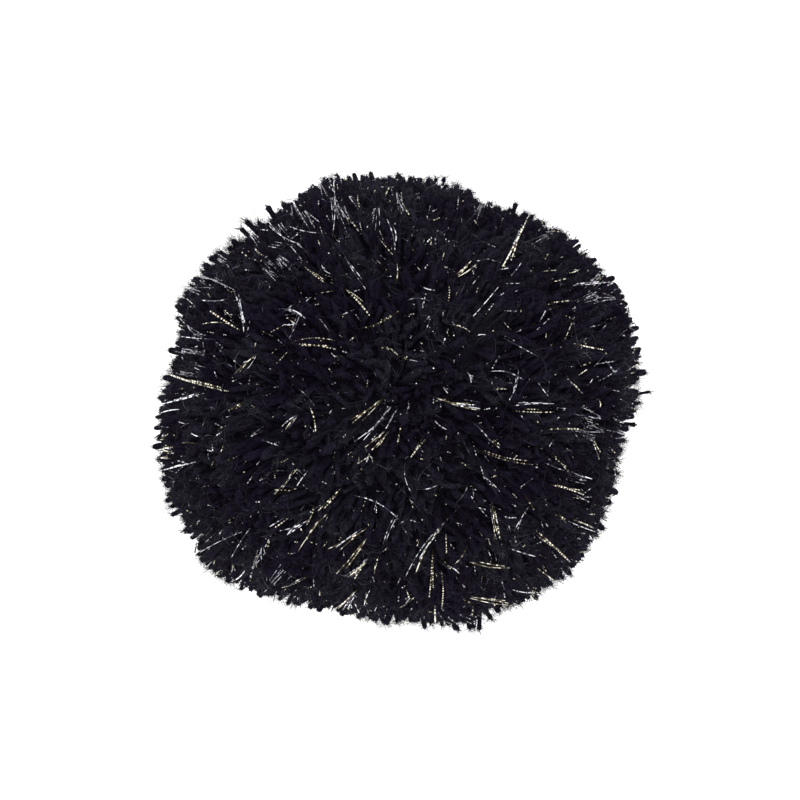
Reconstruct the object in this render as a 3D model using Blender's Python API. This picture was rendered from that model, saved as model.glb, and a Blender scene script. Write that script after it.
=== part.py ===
"""A pom pom of cut black yarn, lying on its flattened underside.

Every strand of yarn starts at one tight tie in the middle of the ball and ends at its
surface. The strands stand together in tufts, and each tuft is one lock of four sides, or
of three, here. The locks stand apart, and their roots are fused into a round backing
near the tie. The locks underneath are shorter and end level, so that the ball rests on
them.

Metres, +Z up. The origin is on the surface that the ball rests on, straight under the
tie. The ball is seen from above, with +X to the right of that view and +Y to its top.
"""

import math
import random
from collections import namedtuple

import bmesh
import bpy
from mathutils import Quaternion, Vector, noise

MM = 0.001
DOWN = Vector((0, 0, -1))

# The ball's own sizes.
TIE_HEIGHT = 40.5 * MM  # from the surface up to the tie
CROWN_REACH = 41.5 * MM  # from the tie to the strand ends on top
UNDERSIDE_REACH = 45.0 * MM  # what the strands underneath would reach with no surface there
BACKING_RADIUS = 22.0 * MM  # where the locks' roots meet
LUMP_HEIGHT = 1.2 * MM  # how far the trimmed surface swells and sinks between tufts
LUMP_SPACING = 21.0 * MM

# How far the strand ends reach from the tie, level with it, all round the ball.
RimPoint = namedtuple("RimPoint", "direction_deg reach_mm")
OUTLINE = (
    RimPoint(0, 44.8),
    RimPoint(12, 46.0),
    RimPoint(35, 46.0),
    RimPoint(52, 42.9),
    RimPoint(70, 41.2),
    RimPoint(90, 42.4),
    RimPoint(112, 43.7),
    RimPoint(140, 43.9),
    RimPoint(152, 44.6),
    RimPoint(170, 43.3),
    RimPoint(190, 45.7),
    RimPoint(220, 46.8),
    RimPoint(240, 42.2),
    RimPoint(262, 40.7),
    RimPoint(280, 41.6),
    RimPoint(294, 44.4),
    RimPoint(325, 44.5),
    RimPoint(350, 42.7),
)

# Where the locks stand: the corners between them lie on an even spiral round the backing,
# each moved a little aside.
CORNERS = 262
CORNER_SCATTER = 0.20  # of the distance from one corner to the next
ROOT_GAP = 0.56 * MM  # between two roots, and it widens outwards as the locks do

TRIM_UNEVENNESS = 1.1 * MM  # one lock is cut this much longer or shorter than the next
MOST_LEAN = 0.30 * MM  # sideways at a lock's tip
SEAT_CLEARANCE = 0.5 * MM  # under the locks next to those that carry the ball

# One row for each ring of corners above a lock's root. A trimmed tuft closes at its end,
# and the tufts underneath are pressed broad and level.
LockRing = namedtuple("LockRing", "share_of_length width width_underneath share_of_lean")
LOCK_RINGS = (
    LockRing(0.45, 1.00, 1.00, 0.30),
    LockRing(0.88, 0.98, 1.00, 0.80),
    LockRing(0.97, 0.78, 0.97, 0.95),
    LockRing(1.00, 0.42, 0.85, 1.00),
)

# One strand that slipped past the trimmed surface on the right.
STRAY_DIRECTION_DEG = 2.0
STRAY_WIDTH = 0.95 * MM
STRAY_END_REACH = 46.9 * MM

YARN_COLOUR = (0.010, 0.009, 0.012, 1.0)
YARN_ROUGHNESS = 0.92


def clear_scene():
    for old in list(bpy.data.objects):
        bpy.data.objects.remove(old, do_unlink=True)


def outline_reach(azimuth):
    """The reach of the strand ends at this direction, in metres, smooth between rows."""
    turn = math.degrees(azimuth)
    for row, here in enumerate(OUTLINE):
        ahead = OUTLINE[(row + 1) % len(OUTLINE)]
        span = (ahead.direction_deg - here.direction_deg) % 360
        along = (turn - here.direction_deg) % 360
        if along <= span:
            ease = (1 - math.cos(math.pi * along / span)) / 2
            return (here.reach_mm + (ahead.reach_mm - here.reach_mm) * ease) * MM
    raise ValueError("the outline's rows do not close")


def surface_reach(direction):
    """How far the trimmed surface lies from the tie along a unit vector."""
    rise = direction.z * direction.z
    pole = CROWN_REACH if direction.z > 0 else UNDERSIDE_REACH
    level = outline_reach(math.atan2(direction.y, direction.x))
    lump = LUMP_HEIGHT * noise.noise(direction * (CROWN_REACH / LUMP_SPACING))
    return level * (1 - rise) + (pole + lump) * rise


def floor_reach(direction):
    """The distance along a unit vector from the tie to the surface that the ball lies on."""
    return TIE_HEIGHT / -direction.z if direction.z < 0 else math.inf


def make_backing(chance):
    """A round body of four-sided and a few three-sided faces, one of them straight down."""
    backing = bmesh.new()
    golden_turn = math.pi * (3 - math.sqrt(5))
    spacing = math.sqrt(4 * math.pi / CORNERS)
    for step in range(CORNERS):
        height = 1 - (2 * step + 1) / CORNERS
        ring = math.sqrt(1 - height * height)
        turn = golden_turn * step
        even = Vector((height, ring * math.cos(turn), ring * math.sin(turn)))
        aside = Vector([chance.uniform(-1, 1) for _ in range(3)])
        backing.verts.new((even + aside * CORNER_SCATTER * spacing).normalized())
    bmesh.ops.convex_hull(backing, input=backing.verts[:])
    bmesh.ops.join_triangles(
        backing,
        faces=backing.faces[:],
        angle_face_threshold=math.pi,
        angle_shape_threshold=math.pi,
    )
    lowest = min(backing.faces, key=lambda face: face.calc_center_median().z)
    to_seat = lowest.calc_center_median().normalized().rotation_difference(DOWN)
    for corner in backing.verts:
        corner.co = to_seat @ corner.co * BACKING_RADIUS
    return backing


def grow_lock(backing, root, chance):
    """Extrudes one lock from its root face out to the trimmed surface, and returns its tip."""
    root_corners = [corner.co.normalized() for corner in root.verts]
    axis = sum(root_corners, Vector()).normalized()
    side = axis.orthogonal().normalized()
    side.rotate(Quaternion(axis, chance.uniform(0, math.tau)))
    lean = side * chance.uniform(0, MOST_LEAN) / surface_reach(axis)
    trim = chance.uniform(-1, 1) * TRIM_UNEVENNESS
    carries = all(floor_reach(corner) < surface_reach(corner) for corner in root_corners)
    tip = root
    for ring in LOCK_RINGS:
        tip = bmesh.ops.extrude_discrete_faces(backing, faces=[tip])["faces"][0]
        for corner, start in zip(tip.verts, root_corners):
            if carries:
                direction = (axis + (start - axis) * ring.width_underneath).normalized()
                reach = floor_reach(direction)
            else:
                sideways = (start - axis) * ring.width + lean * ring.share_of_lean
                direction = (axis + sideways).normalized()
                lowest = floor_reach(direction) - SEAT_CLEARANCE
                reach = min(surface_reach(direction) + trim, lowest)
            length = (reach - BACKING_RADIUS) * ring.share_of_length
            corner.co = direction * (BACKING_RADIUS + length)
    return tip


def grow_stray(backing, tips):
    """One thin strand that runs on past the tip of the lock nearest to its direction."""
    azimuth = math.radians(STRAY_DIRECTION_DEG)
    aim = Vector((math.cos(azimuth), math.sin(azimuth), 0))
    tip = max(tips, key=lambda face: face.calc_center_median().normalized().dot(aim))
    inner = bmesh.ops.extrude_discrete_faces(backing, faces=[tip])["faces"][0]
    middle = inner.calc_center_median()
    shrink = STRAY_WIDTH / math.sqrt(inner.calc_area())
    for corner in inner.verts:
        corner.co = middle + (corner.co - middle) * shrink
    end = bmesh.ops.extrude_discrete_faces(backing, faces=[inner])["faces"][0]
    shift = aim * STRAY_END_REACH - end.calc_center_median()
    for corner in end.verts:
        corner.co += shift


def make_yarn_material():
    yarn = bpy.data.materials.new("black_yarn")
    yarn.use_nodes = True
    shader = yarn.node_tree.nodes["Principled BSDF"]
    shader.inputs["Base Color"].default_value = YARN_COLOUR
    shader.inputs["Roughness"].default_value = YARN_ROUGHNESS
    shader.inputs["Metallic"].default_value = 0.0
    return yarn


def make_pompom():
    chance = random.Random(11)
    backing = make_backing(chance)
    roots = backing.faces[:]
    bmesh.ops.inset_individual(backing, faces=roots, thickness=ROOT_GAP / 2)
    tips = [grow_lock(backing, root, chance) for root in roots]
    grow_stray(backing, tips)
    bmesh.ops.translate(backing, verts=backing.verts[:], vec=(0, 0, TIE_HEIGHT))
    solid = bpy.data.meshes.new("pompom")
    backing.to_mesh(solid)
    backing.free()
    solid.materials.append(make_yarn_material())
    return bpy.data.objects.new("pompom", solid)


def main():
    clear_scene()
    parts = bpy.data.collections.new("yarn_pom_pom")
    bpy.context.scene.collection.children.link(parts)
    parts.objects.link(make_pompom())


main()
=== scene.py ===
"""A pom pom of black yarn, wound with gold and silver metallised thread, cut and trimmed to a ball.

It lies on its flattened underside on a white table and is seen from straight above. The
sections follow the way it is made: the wound middle, the cut yarn, the ends at the rim, the
fuzz, the metallised threads, the threads that slipped out and the ones that frayed, and
then the table, the light and the camera.
"""

import math

import bpy
import numpy as np
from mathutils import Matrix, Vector, noise


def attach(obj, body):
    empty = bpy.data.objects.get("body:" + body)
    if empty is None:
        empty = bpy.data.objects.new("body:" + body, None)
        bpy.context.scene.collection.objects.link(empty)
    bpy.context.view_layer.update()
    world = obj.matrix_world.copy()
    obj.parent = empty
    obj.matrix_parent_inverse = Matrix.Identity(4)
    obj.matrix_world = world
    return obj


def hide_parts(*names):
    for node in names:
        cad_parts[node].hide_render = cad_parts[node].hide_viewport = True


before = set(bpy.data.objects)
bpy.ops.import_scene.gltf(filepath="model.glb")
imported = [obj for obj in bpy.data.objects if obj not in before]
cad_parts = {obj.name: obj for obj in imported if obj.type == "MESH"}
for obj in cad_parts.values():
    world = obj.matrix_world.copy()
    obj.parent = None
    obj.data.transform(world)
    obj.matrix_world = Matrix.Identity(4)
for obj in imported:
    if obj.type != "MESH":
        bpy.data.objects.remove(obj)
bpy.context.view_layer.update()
bpy.ops.object.select_all(action="DESELECT")

# ---------------------------------------------------------------------------------------
# The wound middle. The yarn and the threads are wound together many times round a maker,
# tied tightly in the middle and cut open. Near the tie the strands are pressed so hard
# that they make one dense, lumpy core, which nobody sees except as black between the ends.

MM = 0.001
TIE = np.array((0.0, 0.0, 40.5)) * MM
CORE_DEPTH = 4.9 * MM  # its surface lies this far below the trimmed ends
CORE_DEPTH_AT_RIM = 7.5 * MM
CORE_ABOVE_TABLE = 2.0 * MM
CORE_LUMP_WIDTH = 1.5 * MM
CORE_LUMP_HEIGHT = 3.4 * MM
CORE_RELIEF = 0.5 * MM
CORE_VIOLET = ("#0B080F", "#211D2A")
CORE_GREY = ("#0C0C0F", "#222127")
# Real fibres are 0.03 mm thick. They are drawn ten times as coarse, or they wouldn't show.
FIBRE_SPACING = 0.30 * MM
FIBRE_LENGTH = 1.6 * MM
FIBRE_CONTRAST = (0.38, 0.66)  # the fibres' noise where they are deepest and palest
WORN_PATCH = 10.0 * MM  # the size of a patch that is worn grey
WORN_CONTRAST = {"From Min": 0.42, "From Max": 0.66}
YARN_SHEEN = 0.012
SHEEN_VIOLET = "#C8ACF2"

CROWN_REACH = 41.5 * MM  # from the tie to the trimmed ends on top
UNDERSIDE_REACH = 45.0 * MM  # what the ends underneath would reach with no table there
RIM_BAND = 0.28  # sine of the slope up to which the ball counts as its rim
LEAST_FALL = 1e-6  # keeps what points level or up clear of a division by nothing
# How far the trimmed ends reach from the tie, level with it, all round the ball.
RIM = np.array(
    [  # direction_deg, reach_mm
        (0, 45.0),
        (12, 46.4),
        (26, 46.4),
        (34, 45.4),
        (44, 45.0),
        (54, 42.6),
        (66, 40.7),
        (74, 41.8),
        (90, 41.9),
        (110, 43.8),
        (120, 41.6),
        (135, 41.8),
        (143, 43.4),
        (153, 44.9),
        (168, 42.9),
        (192, 45.6),
        (208, 46.6),
        (221, 47.1),
        (232, 45.0),
        (242, 42.4),
        (256, 40.9),
        (266, 41.1),
        (280, 42.2),
        (288, 43.9),
        (295, 43.2),
        (301, 44.7),
        (316, 45.5),
        (328, 44.8),
        (344, 42.8),
        (352, 42.9),
    ]
)
# Places on top where the yarn sinks in, as the camera sees them.
DIPS = np.array(
    [  # x_mm, y_mm, depth_mm, width_mm
        (1.0, 12.0, 2.5, 3.5),
        (0.5, 4.0, 2.2, 8.0),
        (-24.3, -4.4, 3.0, 3.2),
    ]
)


def linear(hex_colour):
    """An sRGB hex colour as linear red, green, blue and alpha."""
    parts = [int(hex_colour[i : i + 2], 16) / 255 for i in (1, 3, 5)]
    return [p / 12.92 if p <= 0.04045 else ((p + 0.055) / 1.055) ** 2.4 for p in parts] + [1.0]


def add_node(material, kind, settings=(), links=()):
    """Adds a node, sets its properties and sockets, and links its inputs.

    A link comes from an output, or from the first output of a node.
    """
    tree = material.node_tree
    node = tree.nodes.new(kind)
    for name, value in dict(settings).items():
        if isinstance(name, str) and hasattr(node, name):
            setattr(node, name, value)
        else:
            node.inputs[name].default_value = value
    for name, source in dict(links).items():
        output = source.outputs[0] if isinstance(source, bpy.types.Node) else source
        tree.links.new(output, node.inputs[name])
    return node


def new_material(name):
    material = bpy.data.materials.new(name)
    material.use_nodes = True
    return material, material.node_tree.nodes["Principled BSDF"]


def yarn_fibres(material):
    """The fibres of the yarn, which all run out from the tie, as light and dark from 0 to 1."""
    where = add_node(material, "ShaderNodeTexCoord").outputs["Object"]
    from_tie = add_node(material, "ShaderNodeVectorMath", {"operation": "SUBTRACT", 1: TIE}, {0: where})
    outwards = add_node(material, "ShaderNodeVectorMath", {"operation": "NORMALIZE"}, {0: from_tie})
    to_fibres = {"operation": "SCALE", "Scale": CROWN_REACH / FIBRE_SPACING}
    across = add_node(material, "ShaderNodeVectorMath", to_fibres, {0: outwards})
    reach = add_node(material, "ShaderNodeVectorMath", {"operation": "LENGTH"}, {0: from_tie})
    to_lengths = {"operation": "DIVIDE", 1: FIBRE_LENGTH}
    lengths = add_node(material, "ShaderNodeMath", to_lengths, {0: reach.outputs["Value"]})
    along = add_node(material, "ShaderNodeCombineXYZ", {}, {"Z": lengths})
    place = add_node(material, "ShaderNodeVectorMath", {"operation": "ADD"}, {0: across, 1: along})
    uneven = {"Scale": 1.0, "Detail": 2.0, "Roughness": 0.6, "Distortion": 0.6}
    return add_node(material, "ShaderNodeTexNoise", uneven, {"Vector": place})


def worn_patches(material):
    """Where the yarn of the ball is worn, from 0 to 1."""
    where = add_node(material, "ShaderNodeTexCoord").outputs["Object"]
    ragged = {"Scale": 1 / WORN_PATCH, "Detail": 5.0, "Roughness": 0.62}
    patches = add_node(material, "ShaderNodeTexNoise", ragged, {"Vector": where})
    return add_node(material, "ShaderNodeMapRange", WORN_CONTRAST, {"Value": patches})


def worn_yarn(name, violet, grey, own_shade, relief):
    # Soft wool-blend yarn, piece-dyed black and loosely spun: violet-black in some patches
    # and greyer where it is worn. Its fibres trap the light, so it has next to no gloss,
    # only a faint violet sheen.
    material, shader = new_material(name)
    fibres = yarn_fibres(material)
    own = add_node(material, "ShaderNodeAttribute", {"attribute_name": "shade"})
    own_range = {"To Min": -own_shade, "To Max": own_shade}
    tone = add_node(material, "ShaderNodeMapRange", own_range, {"Value": own.outputs["Fac"]})
    toned = add_node(material, "ShaderNodeMath", {"operation": "ADD"}, {0: fibres, 1: tone})
    mottles = []
    for tints in (violet, grey):
        mottle = add_node(material, "ShaderNodeValToRGB", {}, {"Fac": toned})
        for stop, position, tint in zip(mottle.color_ramp.elements, FIBRE_CONTRAST, tints):
            stop.position = position
            stop.color = linear(tint)
        mottles.append(mottle)
    worn = {"Fac": worn_patches(material), "Color1": mottles[0], "Color2": mottles[1]}
    colour = add_node(material, "ShaderNodeMixRGB", {}, worn)
    bump = add_node(material, "ShaderNodeBump", {"Strength": 1.0, "Distance": relief}, {"Height": fibres})
    links = material.node_tree.links
    links.new(colour.outputs["Color"], shader.inputs["Base Color"])
    links.new(bump.outputs["Normal"], shader.inputs["Normal"])
    shader.inputs["Roughness"].default_value = 1.0
    shader.inputs["Specular IOR Level"].default_value = 0.03
    shader.inputs["Sheen Weight"].default_value = YARN_SHEEN
    shader.inputs["Sheen Roughness"].default_value = 0.6
    shader.inputs["Sheen Tint"].default_value = linear(SHEEN_VIOLET)
    return material


def unit(vectors):
    return vectors / np.linalg.norm(vectors, axis=-1, keepdims=True)


def trimmed_reach(directions):
    """How far the trimmed surface lies from the tie in each direction."""
    turn = np.degrees(np.arctan2(directions[:, 1], directions[:, 0])) % 360
    start = np.searchsorted(RIM[:, 0], turn, side="right") - 1
    ahead = RIM[(start + 1) % len(RIM)]
    here = RIM[start]
    share = (turn - here[:, 0]) / ((ahead[:, 0] - here[:, 0]) % 360)
    ease = (1 - np.cos(math.pi * share)) / 2
    level = (here[:, 1] + (ahead[:, 1] - here[:, 1]) * ease) * MM
    rise = directions[:, 2] ** 2
    pole = np.where(directions[:, 2] > 0, CROWN_REACH, UNDERSIDE_REACH)
    reach = level * (1 - rise) + pole * rise
    for x, y, depth, width in DIPS * MM:
        away = np.hypot(directions[:, 0] * reach - x, directions[:, 1] * reach - y)
        sunk = depth * np.exp(-((away / width) ** 2))
        reach = reach - np.where(directions[:, 2] > 0, sunk, 0)
    return reach


def rimness(directions):
    """1 level with the tie, falling to 0 towards the top and the underside."""
    return np.exp(-((directions[:, 2] / RIM_BAND) ** 4))


bpy.ops.mesh.primitive_ico_sphere_add(subdivisions=6, radius=1, location=(0, 0, 0))
core = bpy.context.object
core.name = "wound_core"
core_directions = unit(np.array([v.co for v in core.data.vertices]))
depth = CORE_DEPTH + (CORE_DEPTH_AT_RIM - CORE_DEPTH) * rimness(core_directions)
core_reach = trimmed_reach(core_directions) - depth
to_table = (TIE[2] - CORE_ABOVE_TABLE) / np.maximum(-core_directions[:, 2], LEAST_FALL)
core_points = TIE + core_directions * np.minimum(core_reach, to_table)[:, None]
core.data.vertices.foreach_set("co", core_points.ravel())
lumps = bpy.data.textures.new("core_lumps", "CLOUDS")
lumps.noise_scale = CORE_LUMP_WIDTH
swell = core.modifiers.new("lumps", "DISPLACE")
swell.texture = lumps
swell.texture_coords = "LOCAL"
swell.strength = CORE_LUMP_HEIGHT
bpy.ops.object.modifier_apply(modifier=swell.name)
bpy.ops.object.shade_smooth()
core.data.materials.append(worn_yarn("pressed_black_yarn", CORE_VIOLET, CORE_GREY, 0.0, CORE_RELIEF))
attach(core, "root")
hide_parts("pompom")
bpy.ops.object.select_all(action="DESELECT")

# ---------------------------------------------------------------------------------------
# The cut yarn. Thousands of ends of a soft, loosely spun double-knitting yarn stand out
# from the tie. Scissors trim them to a ball, not quite evenly. Each end opens a little
# where it is cut, and neighbours lean together in tufts.

YARN_ENDS = 9800
YARN_SCATTER = 0.22  # of the distance from one end to the next
YARN_WIDTH = 0.95 * MM
YARN_WIDTH_SPREAD = 0.18
YARN_WIDTH_LIMITS = (0.6, 1.5)
YARN_SWELL = 0.2  # an end is uneven along its length by about this share of its width
YARN_FOOT = 31.0 * MM  # how far from the tie an end starts, inside the core
YARN_RINGS = (  # rise of each ring from the one below, and its width
    (0.68, 0.95),
    (0.24, 1.06),
    (0.08, 0.58),
)
CUT_YARN_PIECES = 2
TUFTS = 450
TUFT_SCATTER = 0.25
TUFT_PULL = 0.29
SWIRL_WIDTH = 9.0 * MM  # the size of a patch that leans one way
SWIRL_LEAN = 0.15
OWN_LEAN = 0.06
OUTWARD_LEAN = 0.32  # the ball's own weight spreads the ends on top outwards
LEAN_CURVE = 1.4  # an end leans more and more towards its tip
BEND = 0.035
UNEVEN_TRIM = 1.9 * MM
TRIM_CURVE = 0.4  # few ends reach the full length, most are cut a little shorter
PROUD = 0.7 * MM  # how far those few stand above the trimmed surface
SHORT_SHARE = 0.15  # of the ends are cut or pulled in well below the surface
SHORT_MOST = 3.5 * MM
# Seen edge-on, the rim is parted into fingers, each an end or two wide.
RIM_FINGERS = 160
RIM_FINGER_SCATTER = 0.22
RIM_FINGER_UNEVEN = 1.8 * MM
RIM_PULL = 0.88  # how far each end moves over to the middle of its finger
RIM_EVENNESS = 0.5  # the ends within one finger differ this much less in length
RIM_UPRIGHT = 0.9  # and lean this much less
RIM_STRAIGHT = 0.7  # and bend this much less
RIM_ROW_PROUD = 0.5 * MM  # how far the outermost row of ends stands clear of the rest
BLOOM = 1.25  # away from the rim the cut ends open out to this many times their width

# The yarn is dyed violet-black, and its brushed, worn surface is greyer.
YARN_VIOLET = ("#0C0713", "#1D1827")
YARN_GREY = ("#121217", "#2A2B32")
YARN_RELIEF = 0.25 * MM
OWN_SHADE = 0.05  # one end is this much darker or paler than the next
UNLIKE_ANY_STRAND = (0.31, 0.77, 0.55)  # a way that strands hardly ever run


def model_strand(sides, rings, flatness=1.0):
    """One short upright strand, 1 high and 1 in radius, extruded ring by ring: its points and faces.

    Where the last ring has no width, the strand comes to a point.
    """
    bpy.ops.mesh.primitive_circle_add(vertices=sides, radius=1, fill_type="NGON")
    model = bpy.context.object
    bpy.ops.object.mode_set(mode="EDIT")
    width = 1
    for rise, next_width in rings:
        bpy.ops.mesh.extrude_region_move(TRANSFORM_OT_translate={"value": (0, 0, rise)})
        grow = next_width / width
        bpy.ops.transform.resize(value=(grow, grow, 1))
        width = next_width
        if width == 0:
            bpy.ops.mesh.merge(type="CENTER")
    bpy.ops.mesh.select_all(action="SELECT")
    bpy.ops.transform.resize(value=(1, flatness, 1), center_override=(0, 0, 0))
    bpy.ops.mesh.normals_make_consistent(inside=False)
    bpy.ops.object.mode_set(mode="OBJECT")
    points = np.array([v.co for v in model.data.vertices])
    faces = [list(p.vertices) for p in model.data.polygons]
    bpy.data.objects.remove(model, do_unlink=True)
    return points, faces


def join_copies(name, material, strand, paths, half_widths, phase=0.0, facing=None, values=()):
    """Copies the strand along every path and joins the copies into one mesh.

    A path has a point for each of the strand's rings. A flat strand turns its flat side to
    its facing, and is then turned on by its phase, in turns. Values are named numbers, one
    for each copy, which the material reads.
    """
    points, faces = strand
    heights, ring = np.unique(points[:, 2].round(4), return_inverse=True)
    count = len(paths)
    along = unit(np.gradient(paths, axis=1))
    facing = unit(np.cross(along[:, -1], UNLIKE_ANY_STRAND)) if facing is None else facing
    side = unit(np.cross(along, facing[:, None]))
    other = np.cross(along, side)
    angle = 2 * math.pi * np.reshape(phase, (-1, 1))
    cos, sin = np.cos(angle)[..., None], np.sin(angle)[..., None]
    side, other = side * cos + other * sin, other * cos - side * sin
    spread = np.reshape(half_widths, (count, -1, 1))
    x, y = points[None, :, 0, None], points[None, :, 1, None]
    spread = spread[:, ring] if spread.shape[1] > 1 else spread
    co = paths[:, ring] + (side[:, ring] * x + other[:, ring] * y) * spread
    corners = np.concatenate(faces)
    totals = np.array([len(f) for f in faces])
    offsets = np.arange(count)[:, None] * len(points)
    all_corners = (corners[None, :] + offsets).ravel()
    all_totals = np.tile(totals, count)
    mesh = bpy.data.meshes.new(name)
    mesh.vertices.add(count * len(points))
    mesh.loops.add(len(all_corners))
    mesh.polygons.add(len(all_totals))
    mesh.vertices.foreach_set("co", co.astype(np.float32).ravel())
    mesh.loops.foreach_set("vertex_index", all_corners.astype(np.int32))
    starts = np.concatenate(([0], np.cumsum(all_totals)[:-1]))
    mesh.polygons.foreach_set("loop_start", starts.astype(np.int32))
    mesh.polygons.foreach_set("use_smooth", np.ones(len(all_totals), bool))
    length = np.linalg.norm(np.diff(paths, axis=1), axis=2).sum(1)
    named = {"along": length[:, None] * heights[ring], "share": np.tile(heights[ring], (count, 1))}
    for value_name, value in dict(values).items():
        named[value_name] = np.repeat(value[:, None], len(points), 1)
    for value_name, value in named.items():
        attribute = mesh.attributes.new(value_name, "FLOAT", "POINT")
        attribute.data.foreach_set("value", value.astype(np.float32).ravel())
    mesh.materials.append(material)
    mesh.update(calc_edges=True)
    mesh.validate()
    joined = bpy.data.objects.new(name, mesh)
    bpy.context.scene.collection.objects.link(joined)
    return joined


def even_directions(count, chance, scatter):
    """Directions spread evenly over the ball along a spiral, each moved a little aside."""
    step = np.arange(count)
    height = 1 - (2 * step + 1) / count
    ring = np.sqrt(1 - height**2)
    turn = math.pi * (3 - math.sqrt(5)) * step
    even = np.stack((height, ring * np.cos(turn), ring * np.sin(turn)), axis=1)
    spacing = math.sqrt(4 * math.pi / count)
    return unit(even + chance.normal(size=(count, 3)) * spacing * scatter)


def above_table(paths, clearance):
    """Keeps every point of the paths at least this high above the table."""
    paths[..., 2] = np.maximum(paths[..., 2], clearance)
    return paths


def patch_lean(directions, width):
    """The way that each patch of the ball leans, as a sideways vector."""
    scale = CROWN_REACH / width
    lean = np.array([noise.noise_vector(Vector(d) * scale) for d in directions])
    return lean - directions * (lean * directions).sum(1, keepdims=True)


noise.seed_set(5)  # or else the patches lean another way on each run
chance = np.random.default_rng(5)
yarn_directions = even_directions(YARN_ENDS, chance, YARN_SCATTER)
turn = np.arctan2(yarn_directions[:, 1], yarn_directions[:, 0])
rim_spacing = 2 * math.pi / RIM_FINGERS
scatter = chance.normal(size=RIM_FINGERS) * RIM_FINGER_SCATTER
rim_middles = (np.arange(RIM_FINGERS) + scatter) * rim_spacing
to_middle = (rim_middles[None, :] - turn[:, None] + math.pi) % (2 * math.pi) - math.pi
finger = np.abs(to_middle).argmin(1)
to_middle = to_middle[np.arange(YARN_ENDS), finger]
at_rim = rimness(yarn_directions)
level_aside = np.stack((-np.sin(turn), np.cos(turn), np.zeros(YARN_ENDS)), axis=1)
aside = level_aside * (to_middle * at_rim * RIM_PULL)[:, None]
yarn_directions = unit(yarn_directions + aside)

tuft_middles = even_directions(TUFTS, chance, TUFT_SCATTER)
nearest = (yarn_directions @ tuft_middles.T).argmax(1)
own_lean = chance.normal(size=(YARN_ENDS, 3)) * OWN_LEAN
pull = (tuft_middles[nearest] - yarn_directions) * TUFT_PULL
yarn_lean = patch_lean(yarn_directions, SWIRL_WIDTH) * SWIRL_LEAN + own_lean + pull
outward = yarn_directions * (1, 1, 0) * np.maximum(yarn_directions[:, 2:], 0)
yarn_lean = yarn_lean + outward * OUTWARD_LEAN
yarn_lean = yarn_lean * (1 - RIM_UPRIGHT * at_rim[:, None])
shortfall = chance.random(YARN_ENDS) ** TRIM_CURVE * UNEVEN_TRIM
short = chance.random(YARN_ENDS) < SHORT_SHARE
shortfall = shortfall + np.where(short, chance.random(YARN_ENDS) * SHORT_MOST, 0)
finger_short = chance.random(RIM_FINGERS)[finger] * RIM_FINGER_UNEVEN
shortfall = shortfall * (1 - RIM_EVENNESS * at_rim) + finger_short * at_rim - PROUD
shortfall = shortfall + RIM_ROW_PROUD * at_rim
heights = np.concatenate(([0], np.cumsum([rise for rise, _ in YARN_RINGS])))[None, :, None]
bend = chance.normal(size=(YARN_ENDS, 1, 3)) * BEND * np.sin(math.pi * heights)
bend = bend * (1 - RIM_STRAIGHT * at_rim[:, None, None])
yarn_way = unit(yarn_directions[:, None] + yarn_lean[:, None] * heights**LEAN_CURVE + bend)
tip_way = yarn_way[:, -1]
thickness = (1 + YARN_WIDTH_SPREAD * chance.normal(size=YARN_ENDS)).clip(*YARN_WIDTH_LIMITS)
half_yarn = YARN_WIDTH / 2 * thickness
half_yarn = half_yarn * (BLOOM + (1 - BLOOM) * at_rim)
to_table = (TIE[2] - half_yarn) / np.maximum(-tip_way[:, 2], LEAST_FALL)
yarn_reach = np.minimum(trimmed_reach(tip_way) - shortfall, to_table)
yarn_paths = TIE + yarn_way * (YARN_FOOT + (yarn_reach[:, None, None] - YARN_FOOT) * heights)
yarn_paths = above_table(yarn_paths, half_yarn.max())
ring_bulge = 1 + YARN_SWELL * chance.normal(size=(YARN_ENDS, len(YARN_RINGS) + 1))
yarn_shade = chance.random(YARN_ENDS)

yarn_end = model_strand(4, YARN_RINGS)
black_yarn = worn_yarn("soft_black_yarn", YARN_VIOLET, YARN_GREY, OWN_SHADE, YARN_RELIEF)
for piece_number in range(CUT_YARN_PIECES):
    own = np.arange(YARN_ENDS) % CUT_YARN_PIECES == piece_number
    yarn = join_copies(
        f"cut_yarn_{piece_number + 1}",
        black_yarn,
        yarn_end,
        yarn_paths[own],
        half_yarn[own, None] * ring_bulge[own],
        phase=yarn_shade[own],
        values={"shade": yarn_shade[own]},
    )
    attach(yarn, "root")
    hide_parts("pompom")

# ---------------------------------------------------------------------------------------
# The ends at the rim. Seen from above, the ends that are level with the tie stand apart
# against the table like short round-ended fingers. A few escaped the scissors and stand
# well clear, one of them far out on the right, and at the top one is still a loop.

RIM_ROW = 172  # ends stand out all round, and as many shorter ones between them
RIM_ROW_SCATTER = 0.28
RIM_ROW_LENGTH = 9.0 * MM
RIM_ROW_WIDTH = (0.75 * MM, 1.2 * MM)
RIM_ROW_HEIGHT = 4.2 * MM  # how far one stands above or below the tie
RIM_ROW_LEAN = 0.05
LONGER_TRIM = (-1.4 * MM, 0.4 * MM)  # how far past the trimmed surface they end
SHORTER_TRIM = (-2.2 * MM, -0.5 * MM)

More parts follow.
